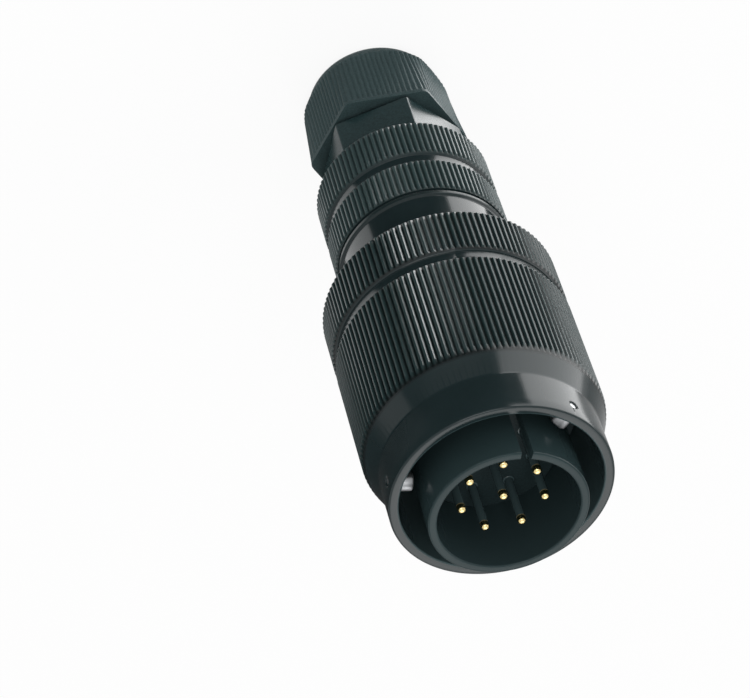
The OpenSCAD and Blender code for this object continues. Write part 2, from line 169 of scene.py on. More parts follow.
def grid_piece(name, xyz, body, replaced, slot, crease=38):
    """Mesh object from a grid that joins up in both directions. Points that coincide, as at a pole, are merged,
    which leaves a triangle of a quad with two equal corners and nothing of one with two such pairs. Edges
    sharper than crease degrees stay sharp, and large faces decide the shading of small rounds."""
    columns, rows = xyz.shape[:2]
    i, j = np.meshgrid(np.arange(columns), np.arange(rows), indexing="ij")
    i2, j2 = (i + 1) % columns, (j + 1) % rows
    quads = np.stack([i * rows + j, i2 * rows + j, i2 * rows + j2, i * rows + j2], axis=-1).reshape(-1, 4)
    points, first = np.unique(np.round(xyz.reshape(-1, 3), 5), axis=0, return_inverse=True)
    quads = first.reshape(-1)[quads]
    repeated = quads == np.roll(quads, 1, axis=1)
    pairs = repeated.sum(axis=1)
    triangles = quads[pairs == 1][~repeated[pairs == 1]].reshape(-1, 3)
    mesh = bpy.data.meshes.new(name)
    mesh.from_pydata(points * MM, [], quads[pairs == 0].tolist() + triangles.tolist())
    mesh.validate()
    mesh.shade_smooth()
    mesh.set_sharp_from_angle(angle=math.radians(crease))
    piece = bpy.data.objects.new(name, mesh)
    bpy.context.scene.collection.objects.link(piece)
    weighted = piece.modifiers.new("weighted_normals", "WEIGHTED_NORMAL")
    weighted.keep_sharp = True
    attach(piece, body)
    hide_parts(replaced)
    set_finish(piece, slot)
    print(name, "has", len(mesh.polygons), "faces")
    return piece


def heights(node):
    """Lowest and highest level of a CAD node, in millimetres."""
    low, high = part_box(node)
    return low.z / MM, high.z / MM


def reach(node):
    """Largest radius of a CAD node about the axis, along X, in millimetres."""
    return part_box(node)[1].x / MM


print("the square carried round in six columns:", turned(square, circle_angles(6)).shape)

# %% [markdown]
# ## The knurl
# A straight knurl is pressed or cut into the metal as a ring of V grooves. Between them the old surface stays
# as narrow crests, and a flank that faces a lamp shows as a thin bright line. The tooth is written as a slope
# that rises over a small shoulder, holds along the flat flank and falls to nothing in the root, and its
# running sum is the depth. An array of boxes cut with a boolean would look the same from far away and break
# up close by.

# %% Knurl teeth
knurl_depth = 0.36
crest_half, shoulder_end, root_start, root_end = 0.11, 0.15, 0.44, 0.49
tooth_stations = np.array([
    -0.5, -root_start, -shoulder_end, -crest_half, crest_half, shoulder_end, root_start])


def tooth_dip(u):
    """Depth below the crest, from 0 to 1, at u pitches from the middle of a tooth: the running sum of a slope
    that grows from crest_half to shoulder_end, stays even, and fades from root_start to root_end."""
    fine = np.linspace(0, 0.5, 401)
    slope = np.clip((fine - crest_half) / (shoulder_end - crest_half), 0, 1)
    slope = slope * np.clip((root_end - fine) / (root_end - root_start), 0, 1)
    depth = np.cumsum(slope)
    return np.interp(np.abs(u - np.round(u)), fine, depth / depth[-1])


def knurl_angles(teeth):
    """Angles of a knurled grid: the same few stations across each tooth, one wherever its slope changes."""
    return ((np.arange(teeth)[:, None] + tooth_stations) * 2 * np.pi / teeth).reshape(-1)


def knurl(teeth, crest_r, depth):
    """Limit of the radius on a knurl: the crest's radius less the tooth's depth at that angle."""
    return lambda a, z: crest_r - depth * tooth_dip(a * teeth / (2 * np.pi))


print("depth across half a tooth:", np.round(tooth_dip(np.linspace(0, 0.5, 6)), 3))

# %% [markdown]
# ## The coupling ring
# The largest piece is the ring that the hand turns. From the rear it has a narrow knurled band, a turned
# groove, the long knurled grip, a cone and a smooth collar. Inside, a web bears on the spring. Knurl and ring
# are one piece of metal, so they are one surface here: the outline carries the teeth only where it stands
# outside their roots, and the bevels cut them off in scallops by themselves. The small holes for the three
# bayonet pins are dents in the same surface, with a few more rows of points at their height.

# %% Sizes of the coupling ring
ring_foot, ring_rim = heights("coupling_ring")
ring_r = round(reach("coupling_ring"), 2)
ring_teeth = 120
band_len, groove_w, grip_len, cone_len = 10.3, 1.8, 27.8, 5.2
groove_depth, knurl_bevel, collar_step, collar_wall, cone_drop = 0.9, 0.7, 2.0, 1.75, 0.7
web_top, web_foot, web_r, skirt_r = ring_rim - 24.2, ring_rim - 27.2, 15.06, 16.7

collar_r = ring_r - collar_step
bore_r = collar_r - collar_wall
floor_r = ring_r - groove_depth
groove_z = ring_foot + band_len
grip_z = groove_z + groove_w
collar_z = grip_z + grip_len
cone_z = collar_z - cone_len
bevel_r = ring_r - knurl_bevel
cone_mid = (ring_r - cone_drop, cone_z + cone_drop / collar_step * cone_len)
print("grip from", round(grip_z, 2), "to", round(cone_z, 2), "mm, collar from", round(collar_z, 2), "mm")

# %% Holes for the bayonet pins
pin_middles = [sum(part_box(f"bayonet_pin_{number}"), Vector()) / 2 / MM for number in (1, 2, 3)]
pin_angles = np.array([math.atan2(middle.y, middle.x) for middle in pin_middles])
pin_z = pin_middles[0].z
hole_r, hole_edge, hole_depth = 0.7, 0.12, 0.45
hole_reach, hole_row_count = 0.84, 15
hole_rows = pin_z + np.linspace(-hole_reach, hole_reach, hole_row_count)
ring_knurl = knurl(ring_teeth, ring_r, knurl_depth)


def ring_limit(a, z):
    """The knurl's limit, and a dent round each pin's axis: full depth up to hole_r, nothing past hole_edge
    more, by the distance along the collar's surface, which is an arc one way and a height the other."""
    arc = collar_r * np.abs(np.angle(np.exp(1j * (a[..., None] - pin_angles)))).min(axis=-1)
    dent = hole_depth * np.clip((hole_r + hole_edge - np.hypot(arc, z - pin_z)) / hole_edge, 0, 1)
    return np.where(dent > 0, collar_r - dent, ring_knurl(a, z))


print("pins at", np.round(np.degrees(pin_angles), 1), "degrees, height", round(pin_z, 2), "mm")

# %% Coupling ring
scallop_step = 0.1
ring_outline = eased([
    (skirt_r, ring_foot, 0.25), (bevel_r, ring_foot, 0.08), (ring_r, ring_foot + knurl_bevel, 0.12),
    (ring_r, groove_z - knurl_bevel, 0.12), (bevel_r, groove_z, 0.08), (floor_r, groove_z, 0.09),
    (floor_r, grip_z, 0.09), (bevel_r, grip_z, 0.08), (ring_r, grip_z + knurl_bevel, 0.12),
    (ring_r, cone_z, 0.2), (*cone_mid, 0), (collar_r, collar_z, 0.25),
    *[(collar_r, z, 0) for z in hole_rows], (collar_r, ring_rim, 0.32), (bore_r, ring_rim, 0.3),
    (bore_r, web_top, 0), (web_r, web_top, 0), (web_r, web_foot, 0), (skirt_r, web_foot, 0)])
ring_outline = refined(ring_outline, bevel_r - scallop_step, scallop_step)
ring_grid = turned(ring_outline, knurl_angles(ring_teeth), ring_limit)
grid_piece("coupling_ring_turned", ring_grid, "coupling_ring", "coupling_ring", "anodised_ring")

# %% [markdown]
# ## The backshell
# Behind the ring a smooth neck runs into two more knurled bands with a groove between them and a plain lip
# in front. It is the same kind of part as the ring, so the same functions make it from another outline.

# %% Backshell
back_foot, back_top = heights("backshell")
back_r = round(reach("backshell"), 2)
back_teeth = 96
tail_r, tail_len, rear_wall = 13.906, 0.6, 6.0
band_1_len, back_groove_w, band_2_len, lip_groove_w, lip_w = 9.2, 2.1, 8.0, 0.5, 1.1
back_groove_depth, lip_step, neck_step = 0.75, 0.4, 0.8
stub_hole_r, cavity_r, thread_r, thread_foot = 10.25, 13.2, 14.2, back_top - 12.4

back_floor_r = back_r - back_groove_depth
lip_r = back_r - lip_step
neck_r = back_r - neck_step
band_1_z = back_foot + tail_len
back_groove_z = band_1_z + band_1_len
band_2_z = back_groove_z + back_groove_w
lip_groove_z = band_2_z + band_2_len
lip_z = lip_groove_z + lip_groove_w
neck_z = lip_z + lip_w
half_bevel = knurl_bevel / 2

back_outline = eased([
    (stub_hole_r, back_foot, 0), (tail_r, back_foot, 0.3), (tail_r, band_1_z, 0.15),
    (back_r - knurl_bevel, band_1_z, 0.08), (back_r, band_1_z + knurl_bevel, 0.12),
    (back_r, back_groove_z - knurl_bevel, 0.12), (back_r - knurl_bevel, back_groove_z, 0.04),
    (back_floor_r, back_groove_z, 0.04), (back_floor_r, band_2_z, 0.15),
    (back_r - half_bevel, band_2_z, 0.08), (back_r, band_2_z + half_bevel, 0.1),
    (back_r, lip_groove_z - half_bevel, 0.1), (back_r - half_bevel, lip_groove_z, 0.08),
    (back_floor_r, lip_groove_z, 0.1), (back_floor_r, lip_z, 0.1), (lip_r, lip_z, 0.1),
    (lip_r, neck_z - lip_step, 0.12), (neck_r, neck_z, 0.12), (neck_r, back_top, 0.2),
    (thread_r, back_top, 0.1), (thread_r, thread_foot, 0), (cavity_r, thread_foot, 0),
    (cavity_r, back_foot + rear_wall, 0), (stub_hole_r, back_foot + rear_wall, 0)])
back_outline = refined(back_outline, back_r - knurl_bevel - scallop_step, scallop_step)
back_grid = turned(back_outline, knurl_angles(back_teeth), knurl(back_teeth, back_r, knurl_depth))
grid_piece("backshell_turned", back_grid, "plug_body", "backshell", "anodised_backshell")

# %% [markdown]
# ## The gland body and its washer
# The gland body is moulded nylon: a hexagon for the spanner with a thread on either side of it. A hexagon's
# radius is its half width divided by the cosine of the angle from the nearest facet, and a soft minimum of
# the two nearest facets rounds its corners. The thread under the nut shows once the nut is unscrewed: its
# radius falls and rises once for each pitch of height, and the phase moves with the angle, which is a helix.

# %% Gland body
gland_foot, gland_top = heights("gland_body")
hex_foot, hex_top = heights("gland_nut")[1] + 1.3, heights("sealing_washer")[0]
hex_half = reach("gland_body")
gland_thread_r, stub_r, gland_bore_r = 10.8, 10.2, 7.0
seal_seat_r, seal_seat_top = 9.05, 14.95
thread_pitch, thread_depth, thread_turns, thread_start, thread_fade = 1.5, 0.55, 7, 0.3, 0.6
hex_softness, gland_columns = 0.09, 360
hex_past = 1.16 * hex_half


def soft_hexagon(half, softness):
    """Radius of a hexagon with facets at 0, 60 ... degrees: half / cos of the angle from a facet, as a soft
    minimum over all facets that face that way, so the corners are rounded."""
    facet = np.radians(60) * np.arange(6)

    def limit(a, z):
        """Radius at angle a, the same at every height z."""
        toward = np.maximum(np.cos(a[..., None] - facet), 1e-3)
        rank = -np.log(np.sum(np.exp(-half / toward / softness), axis=-1))
        return rank * softness
    return limit


hexagon = soft_hexagon(hex_half, hex_softness)
thread_top = hex_foot - 0.8


def gland_limit(a, z):
    """The hexagon outside, and below it a right-hand thread: a rounded wave in height whose phase turns with
    the angle, fading out at both ends."""
    phase = z / thread_pitch - a / (2 * np.pi)
    wave = 0.5 + 0.5 * np.cos(2 * np.pi * phase)
    upper = np.clip((thread_top - z) / thread_pitch, 0, 1)
    lower = np.clip((z - gland_foot - thread_start) / thread_fade, 0, 1)
    thread = gland_thread_r - thread_depth * (1 - wave) * (upper * lower)
    return np.where(z < hex_foot - 0.05, np.minimum(thread, hexagon(a, z)), hexagon(a, z))


thread_rows = np.linspace(thread_top, gland_foot + 0.4, 10 * thread_turns)
gland_outline = eased([
    (gland_bore_r, gland_top, 0.2), (gland_bore_r, seal_seat_top, 0), (seal_seat_r, seal_seat_top, 0),
    (seal_seat_r, gland_foot, 0.2), (gland_thread_r, gland_foot, 0.3),
    *[(gland_thread_r, z, 0) for z in thread_rows[::-1]],
    (gland_thread_r, hex_foot, 0.1), (hex_past, hex_foot, 0.3), (hex_past, hex_top, 0.3),
    (stub_r, hex_top, 0), (stub_r, gland_top, 0.3)])
gland_grid = turned(gland_outline, circle_angles(gland_columns), gland_limit)
grid_piece("gland_body_moulded", gland_grid, "plug_body", "gland_body", "gland_nylon")

# %% Sealing washer
washer_foot, washer_top = heights("sealing_washer")
washer_r, washer_hole_r = reach("sealing_washer"), 10.25
washer_outline = eased([
    (washer_hole_r, washer_foot, 0.1), (washer_r, washer_foot, 0.35),
    (washer_r, washer_top, 0.35), (washer_hole_r, washer_top, 0.1)])
washer_grid = turned(washer_outline, circle_angles(180))
grid_piece("sealing_washer_round", washer_grid, "plug_body", "sealing_washer", "black_rubber")

# %% [markdown]
# ## The gland nut
# The nut is a soft hexagon with fine ribs for the fingers and a rounded end round the cable hole. The ribs
# fade into the smooth dome. One limit does it all: the hexagon's radius, held inside a cone that trims the
# corners, less the depth of a rib, and the rib's depth itself grows with height above the dome. The nut
# stops where the thread lets it, so it stands turned by some degrees from the hexagon of the body.

# %% Form of the gland nut
nut_foot, nut_mouth = heights("gland_nut")
nut_half, nut_corner_r, nut_corner_in, nut_turned = 13.0, 14.8, 1.2, math.radians(-16)
nut_ribs, rib_depth, nut_rim = 90, 0.26, 0.7
rib_start, rib_rise, rib_fall = 0.2, 1.6, 0.5
dome_h, dome_in, dome_inset, nut_wall, nut_hole_r, nut_bore_r = 2.4, 1.8, 0.36, 3.8, 6.5, 10.86
nut_softness, trim_softness = 0.1, 0.08
nut_hexagon = soft_hexagon(nut_half, nut_softness)


def nut_limit(a, z):
    """Soft hexagon inside a cone that trims its corners towards the end, less a rounded rib groove that
    deepens above the dome and runs out at a plain rim round the mouth. All of it is turned with the nut."""
    around = a - nut_turned
    corner = nut_corner_r - nut_corner_in * (nut_mouth - z) / (nut_mouth - nut_foot - dome_h)
    side = nut_hexagon(around, z)
    side = -trim_softness * np.log(np.exp(-side / trim_softness) + np.exp(-corner / trim_softness))
    groove = 0.5 - 0.5 * np.cos(around * nut_ribs)
    fade = np.clip((z - dome_h - rib_start) / rib_rise, 0, 1)
    fade = fade * np.clip((nut_mouth - nut_rim - z) / rib_fall, 0, 1)
    return side - rib_depth * groove**1.5 * fade


print("the nut is", round(nut_mouth - nut_foot, 2), "mm high, with", nut_ribs, "ribs")

# %% Gland nut
rib_stations = np.array([-0.5, -0.33, -0.17, 0, 0.17, 0.33])
dome_angle = np.linspace(0, np.pi / 2, 11)
dome_r = nut_half - dome_inset
dome_out, dome_up = dome_in * (1 - np.sin(dome_angle)), dome_h * (1 - np.cos(dome_angle))
nut_past = nut_corner_r + 0.3
nut_outline = eased([
    (nut_hole_r, nut_foot, 0.25), *zip(dome_r - dome_out, nut_foot + dome_up, 0 * dome_angle),
    *[(dome_r + rise, dome_h + rise * 1.1, 0) for rise in np.linspace(0.15, 2.2, 12)],
    *[(nut_past, nut_mouth - down, 0) for down in (1.25, 1.0, 0.75)],
    (nut_past, nut_mouth, 0.6), (nut_bore_r, nut_mouth, 0.3),
    (nut_bore_r, nut_foot + nut_wall, 0), (nut_hole_r, nut_foot + nut_wall, 0.15)])
rib_places = (np.arange(nut_ribs)[:, None] + rib_stations) * 2 * np.pi / nut_ribs
nut_grid = turned(nut_outline, nut_turned + rib_places.reshape(-1), nut_limit)
grid_piece("gland_nut_moulded", nut_grid, "gland_nut", "gland_nut", "nut_nylon")

# %% [markdown]
# ## The plug shell
# The inner shell carries the keyed nose. The key slot is a cut from the rim down, two millimetres wide. In a
# grid it needs no boolean: the columns on both sides of the slot come in pairs at the same angle, and between
# the pairs the whole outline is pressed down to the slot's floor.

# %% Plug shell
shell_foot, shell_rim = heights("plug_shell")
flange_r = reach("plug_shell")
nose_r, mouth_r, journal_r, shell_tail_r, insert_seat_r = 13.5, 12.0, 15.0, 14.15, 12.7
key_w, key_len, key_at = 2.0, 12.0, math.radians(270)
seal_z, flange_z, spring_z, shoulder_z = (ring_rim - down for down in (17.0, 18.5, 21.0, 29.65))
seat_z, seal_step, shell_columns = shell_rim - 18.8, 0.4, 181

shell_outline = eased([
    (mouth_r, shell_rim, 0.3), (mouth_r, seat_z, 0), (insert_seat_r, seat_z, 0),
    (insert_seat_r, shell_foot, 0.2), (shell_tail_r, shell_foot, 0.3), (shell_tail_r, shoulder_z, 0),
    (journal_r, shoulder_z, 0.1), (journal_r, spring_z, 0), (flange_r, spring_z, 0.1),
    (flange_r, flange_z, 0.1), (nose_r + seal_step, flange_z, 0), (nose_r + seal_step, seal_z, 0.15),
    (nose_r, seal_z, 0), (nose_r, shell_rim, 0.3)])
key_half = math.asin(key_w / 2 / nose_r)
wall_angles = key_at + key_half + np.linspace(0, 2 * np.pi - 2 * key_half, shell_columns)
shell_angles = np.concatenate([wall_angles, [key_at - key_half, key_at, key_at + key_half]])
shell_top = np.concatenate([np.full(shell_columns, shell_rim), np.full(3, shell_rim - key_len)])
shell_grid = turned(shell_outline, shell_angles, high=shell_top)
grid_piece("plug_shell_turned", shell_grid, "plug_body", "plug_shell", "anodised_shell")

# %% [markdown]
# ## The contacts
# Eight gold plated pins stand in the nose, seven in a ring and one in the middle. Each is a small lathe part
# with a blunt round tip, a superellipse in section. Its rear end is a solder cup, with half of the wall cut
# away for the wire: the slot's trick again, this time from below.

# %% Contacts
cup_foot, tip_z = heights("contact_pin_8")
pin_r, stem_r, pin_collar_r, cup_r, cup_bore_r = 0.75, 1.0, 1.3, 1.1, 0.75
insert_z, collar_low, collar_high = tip_z - 10, tip_z - 23, tip_z - 21
cup_depth, cup_open, tip_h, tip_power = 5.6, 2.8, 0.65, 0.7
tip_angle = np.linspace(0, np.pi / 2, 13)
tip_out, tip_up = pin_r * np.cos(tip_angle) ** tip_power, tip_h * np.sin(tip_angle) ** tip_power

contact_outline = eased([
    (0, cup_foot + cup_depth, 0), (cup_bore_r, cup_foot + cup_depth, 0), (cup_bore_r, cup_foot, 0.06),
    (cup_r, cup_foot, 0.1), (cup_r, collar_low, 0), (pin_collar_r, collar_low, 0.1),
    (pin_collar_r, collar_high, 0.1), (stem_r, collar_high, 0), (stem_r, insert_z, 0.1),
    (pin_r, insert_z, 0), *zip(tip_out, tip_z - tip_h + tip_up, 0 * tip_angle)])
half_turn = np.linspace(-np.pi / 2, np.pi / 2, 25)
contact_angles = np.concatenate([half_turn, half_turn + np.pi])
contact_low = np.repeat([cup_foot + cup_open, cup_foot], len(half_turn))
contact_grid = turned(contact_outline, contact_angles, low=contact_low)
for number in range(1, 9):
    low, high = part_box(f"contact_pin_{number}")
    place = np.array([(low.x + high.x) / 2, (low.y + high.y) / 2, 0]) / MM
    grid_piece(f"contact_pin_{number}_turned", contact_grid + place, "plug_body",
               f"contact_pin_{number}", "gold_contact")

# %% [markdown]
# ## The bayonet pins
# Three steel pins are riveted through the collar, heads inside and ends sunk a little below its surface, so
# that each end shows as a bright dot in a dark ring. A pin is turned about its own axis, so its grid is made
# upright first and then laid along the radius: its height becomes the distance from the plug's axis.

# %% Bayonet pins
head_r, shank_r, head_in = 1.6, 0.675, 14.8
head_out, pin_end = 16.8, collar_r - 0.2
pin_outline = eased([
    (0, head_in, 0), (head_r, head_in, 0.3), (head_r, head_out, 0.1), (shank_r, head_out, 0),
    (shank_r, pin_end, 0.22), (0, pin_end, 0)])
upright = turned(pin_outline, circle_angles(48))
for number, a in enumerate(pin_angles, start=1):
    outward, sideways = (math.cos(a), math.sin(a), 0), (-math.sin(a), math.cos(a), 0)
    laid = upright @ np.array([sideways, (0, 0, 1), outward]) + np.array([0, 0, pin_z])
    grid_piece(f"bayonet_pin_{number}_turned", laid, "coupling_ring", f"bayonet_pin_{number}", "bright_steel")

# %% [markdown]
# ## The wave spring
# Between the shell's flange and the thrust washer lies a wavy steel strip. When the ring is pulled forward
# to couple, the strip is pressed flat.

# %% Wave spring
strip_in, strip_out, strip_t, strip_h, strip_waves = 15.3, 16.95, 0.4, 2.4, 3
strip_edge, strip_slack = 0.05, 0.05
strip_mid = spring_z - strip_h / 2
strip_low, strip_high = strip_mid - strip_t / 2, strip_mid + strip_t / 2
strip_outline = eased([
    (strip_in, strip_low, strip_edge), (strip_out, strip_low, strip_edge),
    (strip_out, strip_high, strip_edge), (strip_in, strip_high, strip_edge)], steps=3)
strip_angles = circle_angles(216)
strip_grid = turned(strip_outline, strip_angles)
strip_lift = (strip_h - strip_t) / 2 - strip_slack
strip_grid[..., 2] += strip_lift * np.sin(strip_waves * strip_angles)[:, None]
wave_spring = grid_piece("wave_spring_strip", strip_grid, "plug_body", "wave_spring", "spring_steel")
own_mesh(wave_spring)

# %% [markdown]
# ## Materials
# A material here starts as a Principled shader with its constant values on the shader's own sockets. In the
# node editor that is one node and a few clicks, and two small functions do the same for every finish.

# %% Nodes and shaders
def add_node(tree, kind, **sockets):
    """A shader node with some of its inputs set by name, or linked where the value is another node's output."""
    node = tree.nodes.new(kind)
    for name, value in sockets.items():
        socket = node.inputs[name.replace("_", " ")]
        if isinstance(value, bpy.types.NodeSocket):
            tree.links.new(value, socket)
        else:
            socket.default_value = value
    return node


def finish_of(name, colour, **sockets):
    """A Principled material with constant sockets; returns the material, its tree, shader and coordinates."""
    material = bpy.data.materials.new(name)
    material.use_nodes = True
    tree = material.node_tree
    shader = tree.nodes["Principled BSDF"]
    shader.inputs["Base Color"].default_value = (*colour, 1)
    for socket, value in sockets.items():
        shader.inputs[socket.replace("_", " ")].default_value = value
    return material, tree, shader, add_node(tree, "ShaderNodeTexCoord").outputs["Object"]


# %% [markdown]
# ### What varies over a surface
# Noise on object coordinates varies what varies on the real thing: gloss where hands have been, fine rings
# from the lathe tool, the grain of a mould. Object coordinates are metres in the plug's own frame, so a scale
# of 1000 is one noise cell for each millimetre. The distance from the axis tells bore, roots and crests apart,
# and places the light and shade painted on them.

# %% Noise and ranges
def noise(tree, where, scale, stretch=(1, 1, 1), detail=3.0):
    """Grey noise from 0 to 1 with scale cells for each metre, stretched along the axes."""
    mapped = add_node(tree, "ShaderNodeMapping", Vector=where, Scale=stretch)
    cloud = add_node(tree, "ShaderNodeTexNoise", Vector=mapped.outputs[0], Scale=scale, Detail=detail)
    return cloud.outputs["Fac"]


def between(tree, value, low, high, start=0.3, stop=0.7):
    """Maps a grey value from start..stop to low..high."""
    mapped = add_node(tree, "ShaderNodeMapRange", Value=value)
    for name, number in (("From Min", start), ("From Max", stop), ("To Min", low), ("To Max", high)):
        mapped.inputs[name].default_value = number
    return mapped.outputs[0]


def two_tone(tree, value, first, second):
    """Mixes two colours by a grey value. A colour is three numbers or another node's output."""
    mix = tree.nodes.new("ShaderNodeMix")
    mix.data_type = "RGBA"
    tree.links.new(value, mix.inputs["Factor"])
    for socket, colour in ((mix.inputs[6], first), (mix.inputs[7], second)):
        if isinstance(colour, bpy.types.NodeSocket):
            tree.links.new(colour, socket)
        else:
            socket.default_value = (*colour, 1)
    return mix.outputs[2]


# %% Distance from the axis, and relief
def from_axis(tree, where, start, stop):
    """0 up to a distance from the axis of start millimetres, and 1 from stop on."""
    flat = add_node(tree, "ShaderNodeVectorMath")
    flat.operation = "MULTIPLY"
    flat.inputs[1].default_value = (1, 1, 0)
    tree.links.new(where, flat.inputs[0])
    length = tree.nodes.new("ShaderNodeVectorMath")
    length.operation = "LENGTH"
    tree.links.new(flat.outputs[0], length.inputs[0])
    return between(tree, length.outputs["Value"], 0.0, 1.0, start=start * MM, stop=stop * MM)


def relief(tree, shader, height, depth):
    """Bump from a grey height, depth in metres."""
    bump = add_node(tree, "ShaderNodeBump", Height=height, Distance=depth, Strength=1.0)
    tree.links.new(bump.outputs[0], shader.inputs["Normal"])


# %% [markdown]
# ### Black anodised aluminium
# Anodising grows a hard, dyed, glassy layer on the metal. It is nearly black when you look into it, with a
# slight green cast, and it mirrors bright things weakly and crisply. So it is a dark dielectric and not a
# metal: a dark base, a low specular level and a small roughness. Handling shows as slow changes of gloss,
# and the lathe tool left rings too fine to see one by one. The colour also changes with the distance from the
# axis, and that is painted light and shade: near black in the knurl's roots as painted shade in the grooves,
# lighter on its crests as painted light, and lighter in the bores as painted light inside them.

# %% Anodising
SMUDGE_RANGE = {"start": 0.15, "stop": 0.85}
tool_mark_depth, handled_gain, edge_blend = 0.0000012, 1.4, 0.3


def anodised(name, bore, smooth, root, crest, bore_to, root_at, crest_at, rougher, specular):
    """Anodising by distance from the axis: one colour in the bore up to the radius bore_to, painted lighter as
    light inside the bore, then the smooth outside, then a painted shade in the knurl's roots from the radius
    root_at, rising to painted light on its crests at crest_at. The knurl is also rougher than the smooth metal."""
    material, tree, shader, where = finish_of(name, smooth, Specular_IOR_Level=specular)
    smudge = noise(tree, where, 90)
    rings = noise(tree, where, 900, stretch=(0.02, 0.02, 9), detail=2)
    knurled = from_axis(tree, where, root_at - 0.25, root_at)
    gloss = add_node(tree, "ShaderNodeMath")
    gloss.operation = "ADD"
    tree.links.new(between(tree, smudge, 0.11, 0.21, **SMUDGE_RANGE), gloss.inputs[0])
    tree.links.new(between(tree, knurled, 0.0, rougher, start=0.0, stop=1.0), gloss.inputs[1])
    tree.links.new(gloss.outputs[0], shader.inputs["Roughness"])
    tooth = two_tone(tree, from_axis(tree, where, root_at, crest_at), root, crest)
    lighter = tuple(handled_gain * c for c in smooth)
    handled = two_tone(tree, between(tree, smudge, 0, 1, **SMUDGE_RANGE), smooth, lighter)
    turned_part = two_tone(tree, from_axis(tree, where, bore_to, bore_to + edge_blend), bore, handled)
    tree.links.new(two_tone(tree, knurled, turned_part, tooth), shader.inputs["Base Color"])
    relief(tree, shader, rings, tool_mark_depth)
    return material


# %% Anodised finishes
# The second tone is the same black anodising painted lighter, as light on what lies in shade: the shell in the
# collar's gap, and bores.
smooth_black, shade_lifted_tone = (0.009, 0.0175, 0.019), (0.02, 0.035, 0.037)
# Ring: the lighter bore colour is painted light inside the collar, the near black roots are painted shade in
# the knurl's grooves, and the lighter crests are painted light.
ring_black = anodised(
    "ring_black", bore=(0.06, 0.095, 0.1), smooth=smooth_black, root=(0.001, 0.004, 0.0045),
    crest=(0.014, 0.035, 0.036), bore_to=bore_r + 0.1, root_at=ring_r - knurl_depth, crest_at=ring_r,
    rougher=0.14, specular=0.28)
# Backshell: painted shade in the knurl's roots, painted light on its crests, and the lighter tone painted as
# light in its bore.
back_black = anodised(
    "back_black", bore=shade_lifted_tone, smooth=smooth_black, root=(0.009, 0.021, 0.022),
    crest=(0.027, 0.055, 0.056), bore_to=thread_r + 0.1, root_at=back_r - knurl_depth, crest_at=back_r,
    rougher=0.18, specular=0.25)
# Shell: the whole of it is painted lighter than the ring as light in the collar's gap, and its bore lighter
# still as light inside the nose.
shell_black = anodised(
    "shell_black", bore=(0.025, 0.042, 0.045), smooth=shade_lifted_tone, root=shade_lifted_tone, crest=shade_lifted_tone,
    bore_to=mouth_r + 0.1, root_at=nose_r + 0.1, crest_at=nose_r + 0.3, rougher=0.0, specular=0.1)
print("anodised:", ring_black.name, back_black.name, shell_black.name)

# %% [markdown]
# ### Moulded nylon, rubber and the insulator
# Nylon comes out of its mould with a faint grain and a satin shine. Rubber is duller and dustier, and the
# insulator inside the nose is a fine, dull moulding compound.

# %% Moulded finishes
def moulded(name, colour, rough_low, rough_high, specular, grain, depth):
    """A moulded finish: cloudy gloss between two roughnesses, and a fine grain of so many cells for each metre
    that lightens the colour in its high spots and stands out by depth metres."""
    material, tree, shader, where = finish_of(name, colour, Specular_IOR_Level=specular)
    cloud = noise(tree, where, 140)
    fine = noise(tree, where, grain, detail=4)
    tree.links.new(between(tree, cloud, rough_low, rough_high), shader.inputs["Roughness"])
    dusty = tuple(1.6 * c for c in colour)
    tree.links.new(two_tone(tree, between(tree, fine, 0, 1), colour, dusty), shader.inputs["Base Color"])
    relief(tree, shader, fine, depth)
    return material


nut_nylon = moulded("nut_nylon", (0.03, 0.05, 0.052), 0.4, 0.5, 0.1, 3500, 0.00001)
hex_nylon = moulded("hex_nylon", (0.0125, 0.027, 0.0285), 0.2, 0.3, 0.2, 2500, 0.000004)
rubber = moulded("rubber", (0.035, 0.05, 0.053), 0.55, 0.75, 0.2, 4000, 0.00001)
insulator = moulded("insulator", (0.012, 0.021, 0.0225), 0.45, 0.6, 0.15, 3000, 0.000006)
print("moulded:", nut_nylon.name, hex_nylon.name, rubber.name, insulator.name)

# %% [markdown]
# ### Bare metals
# The contacts are plated with gold, the bayonet pins are bright steel, and inside the plug sit a spring, two
# steel rings, a brass slip washer and a plain aluminium ring. All are true metals: the base colour is the
# colour of the reflection. Only the tips of the contacts shine. The shafts below them are as dark as the nose
# around them, so shade is painted on them: further down, the gold turns into a dark, dull colour that is not
# metallic.

# %% Metal finishes
# The first colour is painted shade for the contacts' shafts down in the nose, blended in over a height band.
shaft_shade_colour, shade_blend, scratch_depth = (0.05, 0.08, 0.085), 0.15, 0.0000015


def metal(name, colour, rough_low, rough_high, scratch=(1, 1, 1), shade_below=None):
    """A metal with cloudy gloss and fine scratches. Below the height given for the shade, in millimetres,
    painted shade makes it a dark, dull colour that is not metallic.
    """
    material, tree, shader, where = finish_of(name, colour, Metallic=1.0)
    cloud = noise(tree, where, 400)
    lines = noise(tree, where, 3000, stretch=scratch)
    tree.links.new(between(tree, cloud, rough_low, rough_high), shader.inputs["Roughness"])
    tint = two_tone(tree, between(tree, cloud, 0, 1), colour, tuple(0.85 * c for c in colour))
    # Painted shade: below the height, the colour blends into the dark shaft colour and the metal stops being
    # metallic.
    if shade_below is not None:
        height = add_node(tree, "ShaderNodeSeparateXYZ", Vector=where).outputs["Z"]
        shade_to, unshaded_from = (shade_below - shade_blend) * MM, (shade_below + shade_blend) * MM
        unshaded = between(tree, height, 0.0, 1.0, start=shade_to, stop=unshaded_from)
        tint = two_tone(tree, unshaded, shaft_shade_colour, tint)
        tree.links.new(unshaded, shader.inputs["Metallic"])
    tree.links.new(tint, shader.inputs["Base Color"])
    relief(tree, shader, lines, scratch_depth)
    return material


